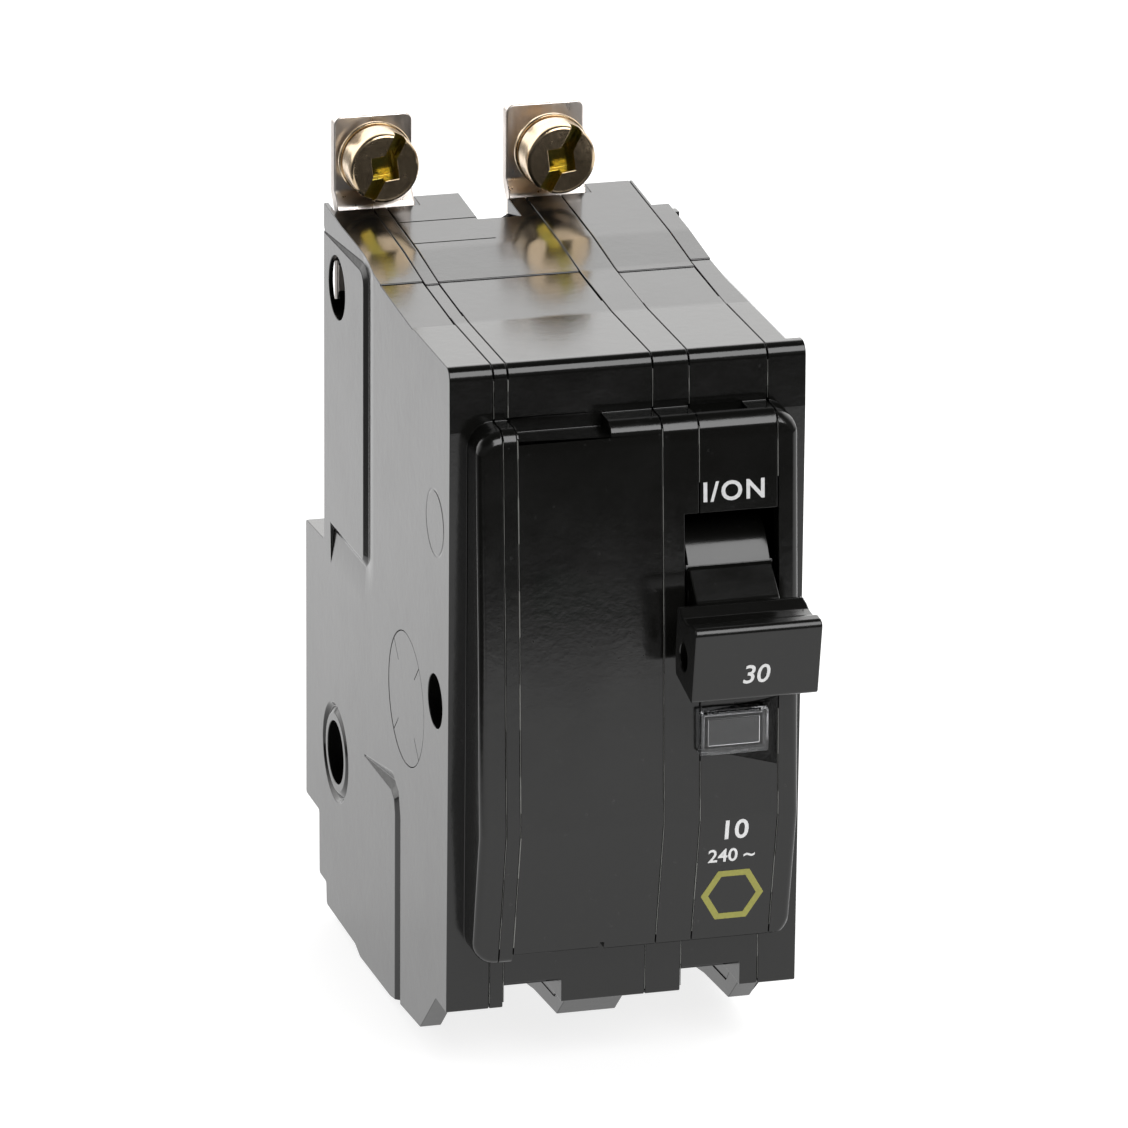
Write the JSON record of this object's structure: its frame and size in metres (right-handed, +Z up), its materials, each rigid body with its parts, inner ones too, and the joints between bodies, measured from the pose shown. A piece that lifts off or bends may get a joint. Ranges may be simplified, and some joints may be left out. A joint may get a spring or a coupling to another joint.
{
  "type": "two-pole bolt-on circuit breaker",
  "caption": "Moulded-case circuit breaker with one toggle handle, a clear trip window, bolt-on line tabs with captive screws and screw-clamp load terminals.",
  "frame": {"origin": "centre of the flat back face of the projecting lower block, halfway across the width", "axes": "+X to the right seen from the front, +Y out of the back towards the panel, +Z up towards the line tabs"},
  "size_m": [0.0382, 0.076, 0.0904],
  "materials": {
    "case_plastic": "satin black thermoset moulding",
    "handle_plastic": "black, slightly glossier than the case",
    "clear_window": "clear polycarbonate",
    "red_plastic": "matt red",
    "tin_plate": "dull tin plating",
    "zinc_yellow": "yellow zinc plating",
    "steel": "bright zinc plating",
    "copper": "bare copper",
    "braid_copper": "stranded bare copper",
    "bimetal": "rolled strip",
    "silver": "silver alloy"
  },
  "bodies": {
    "case": {"case_cover_left": "case_plastic", "case_frame_left": "case_plastic", "case_body_left": "case_plastic", "case_frame_center": "case_plastic", "case_body_right": "case_plastic", "case_cover_right": "case_plastic", "side_plug": "case_plastic", "indicator_window": "clear_window", "line_tab_left": "tin_plate", "line_tab_right": "tin_plate", "load_lug_left": "tin_plate", "load_lug_right": "tin_plate", "rivet_1": "steel", "rivet_2": "steel", "rivet_3": "steel", "arm_pin_left": "steel", "arm_pin_right": "steel", "cradle_pin_left": "steel", "cradle_pin_right": "steel", "magnet_yoke_left": "steel", "magnet_yoke_right": "steel", "arc_plate_1_left": "steel", "arc_plate_1_right": "steel", "arc_plate_2_left": "steel", "arc_plate_2_right": "steel", "arc_plate_3_left": "steel", "arc_plate_3_right": "steel", "load_strap_left": "copper", "load_strap_right": "copper", "braid_left": "braid_copper", "braid_right": "braid_copper", "bimetal_left": "bimetal", "bimetal_right": "bimetal", "fixed_contact_left": "silver", "fixed_contact_right": "silver"},
    "handle": {"handle": "handle_plastic", "handle_shaft": "steel", "handle_crank": "handle_plastic"},
    "trip_bar": {"trip_bar": "handle_plastic"},
    "trip_flag": {"trip_flag": "red_plastic"},
    "contact_arm_left": {"contact_arm_left": "copper", "moving_contact_left": "silver", "toggle_spring_left": "steel"},
    "cradle_left": {"cradle_left": "steel"},
    "armature_left": {"armature_left": "steel"},
    "line_washer_left": {"line_washer_left": "steel"},
    "line_screw_left": {"line_screw_left": "zinc_yellow"},
    "load_clamp_left": {"load_clamp_left": "steel"},
    "load_screw_left": {"load_screw_left": "zinc_yellow"},
    "contact_arm_right": {"contact_arm_right": "copper", "moving_contact_right": "silver", "toggle_spring_right": "steel"},
    "cradle_right": {"cradle_right": "steel"},
    "armature_right": {"armature_right": "steel"},
    "line_washer_right": {"line_washer_right": "steel"},
    "line_screw_right": {"line_screw_right": "zinc_yellow"},
    "load_clamp_right": {"load_clamp_right": "steel"},
    "load_screw_right": {"load_screw_right": "zinc_yellow"}
  },
  "joints": [
    {"name": "handle_swing", "type": "hinge", "parent": "case", "child": "handle", "pos_m": [0.00985, -0.058, 0.027], "axis": [-1, 0, 0], "range_deg": [0, 31]},
    {"name": "trip_bar_turn", "type": "hinge", "parent": "case", "child": "trip_bar", "pos_m": [0, -0.03, 0.018], "axis": [1, 0, 0], "range_deg": [0, 12]},
    {"name": "trip_flag_swing", "type": "hinge", "parent": "case", "child": "trip_flag", "pos_m": [0.01045, -0.061, 0.0035], "axis": [1, 0, 0], "range_deg": [0, 48.2]},
    {"name": "contact_arm_left_swing", "type": "hinge", "parent": "case", "child": "contact_arm_left", "pos_m": [-0.01125, -0.047, 0.023], "axis": [1, 0, 0], "range_deg": [0, 18.1]},
    {"name": "cradle_left_swing", "type": "hinge", "parent": "case", "child": "cradle_left", "pos_m": [-0.00605, -0.048, 0.039], "axis": [1, 0, 0], "range_deg": [0, 15.1]},
    {"name": "armature_left_swing", "type": "hinge", "parent": "case", "child": "armature_left", "pos_m": [-0.00905, -0.0236, 0.0125], "axis": [1, 0, 0], "range_deg": [0, 3.7]},
    {"name": "line_screw_left_travel", "type": "slide", "parent": "case", "child": "line_washer_left", "axis": [0, -1, 0], "range_m": [-0.0003, 0.0024]},
    {"name": "line_screw_left_turn", "type": "hinge", "parent": "line_washer_left", "child": "line_screw_left", "pos_m": [-0.01385, -0.011, 0.0595], "axis": [0, -1, 0], "range_deg": [-135, 1080]},
    {"name": "load_screw_left_travel", "type": "slide", "parent": "case", "child": "load_clamp_left", "axis": [0, -0.9063, -0.4226], "range_m": [-0.00175, 0.00035]},
    {"name": "load_screw_left_turn", "type": "hinge", "parent": "load_clamp_left", "child": "load_screw_left", "pos_m": [-0.00905, -0.044, -0.0125], "axis": [0, -0.9063, -0.4226], "range_deg": [-900, 180]},
    {"name": "contact_arm_right_swing", "type": "hinge", "parent": "case", "child": "contact_arm_right", "pos_m": [0.0078, -0.047, 0.023], "axis": [1, 0, 0], "range_deg": [0, 18.1]},
    {"name": "cradle_right_swing", "type": "hinge", "parent": "case", "child": "cradle_right", "pos_m": [0.013, -0.048, 0.039], "axis": [1, 0, 0], "range_deg": [0, 15.1]},
    {"name": "armature_right_swing", "type": "hinge", "parent": "case", "child": "armature_right", "pos_m": [0.01, -0.0236, 0.0125], "axis": [1, 0, 0], "range_deg": [0, 3.7]},
    {"name": "line_screw_right_travel", "type": "slide", "parent": "case", "child": "line_washer_right", "axis": [0, -1, 0], "range_m": [-0.0018, 0.0008]},
    {"name": "line_screw_right_turn", "type": "hinge", "parent": "line_washer_right", "child": "line_screw_right", "pos_m": [0.0052, -0.011, 0.0595], "axis": [0, -1, 0], "range_deg": [-810, 360]},
    {"name": "load_screw_right_travel", "type": "slide", "parent": "case", "child": "load_clamp_right", "axis": [0, -0.9063, -0.4226], "range_m": [-0.00175, 0.00035]},
    {"name": "load_screw_right_turn", "type": "hinge", "parent": "load_clamp_right", "child": "load_screw_right", "pos_m": [0.01, -0.044, -0.0125], "axis": [0, -0.9063, -0.4226], "range_deg": [-900, 180]}
  ],
  "couplings": [
    {"joint": "trip_flag_swing", "follows": "trip_bar_turn", "ratio": 4},
    {"joint": "contact_arm_left_swing", "follows": "handle_swing", "ratio": 0.58064},
    {"joint": "cradle_left_swing", "follows": "trip_bar_turn", "ratio": 1.25},
    {"joint": "armature_left_swing", "follows": "trip_bar_turn", "ratio": 0.3},
    {"joint": "contact_arm_right_swing", "follows": "handle_swing", "ratio": 0.58064},
    {"joint": "cradle_right_swing", "follows": "trip_bar_turn", "ratio": 1.25},
    {"joint": "armature_right_swing", "follows": "trip_bar_turn", "ratio": 0.3}
  ]
}
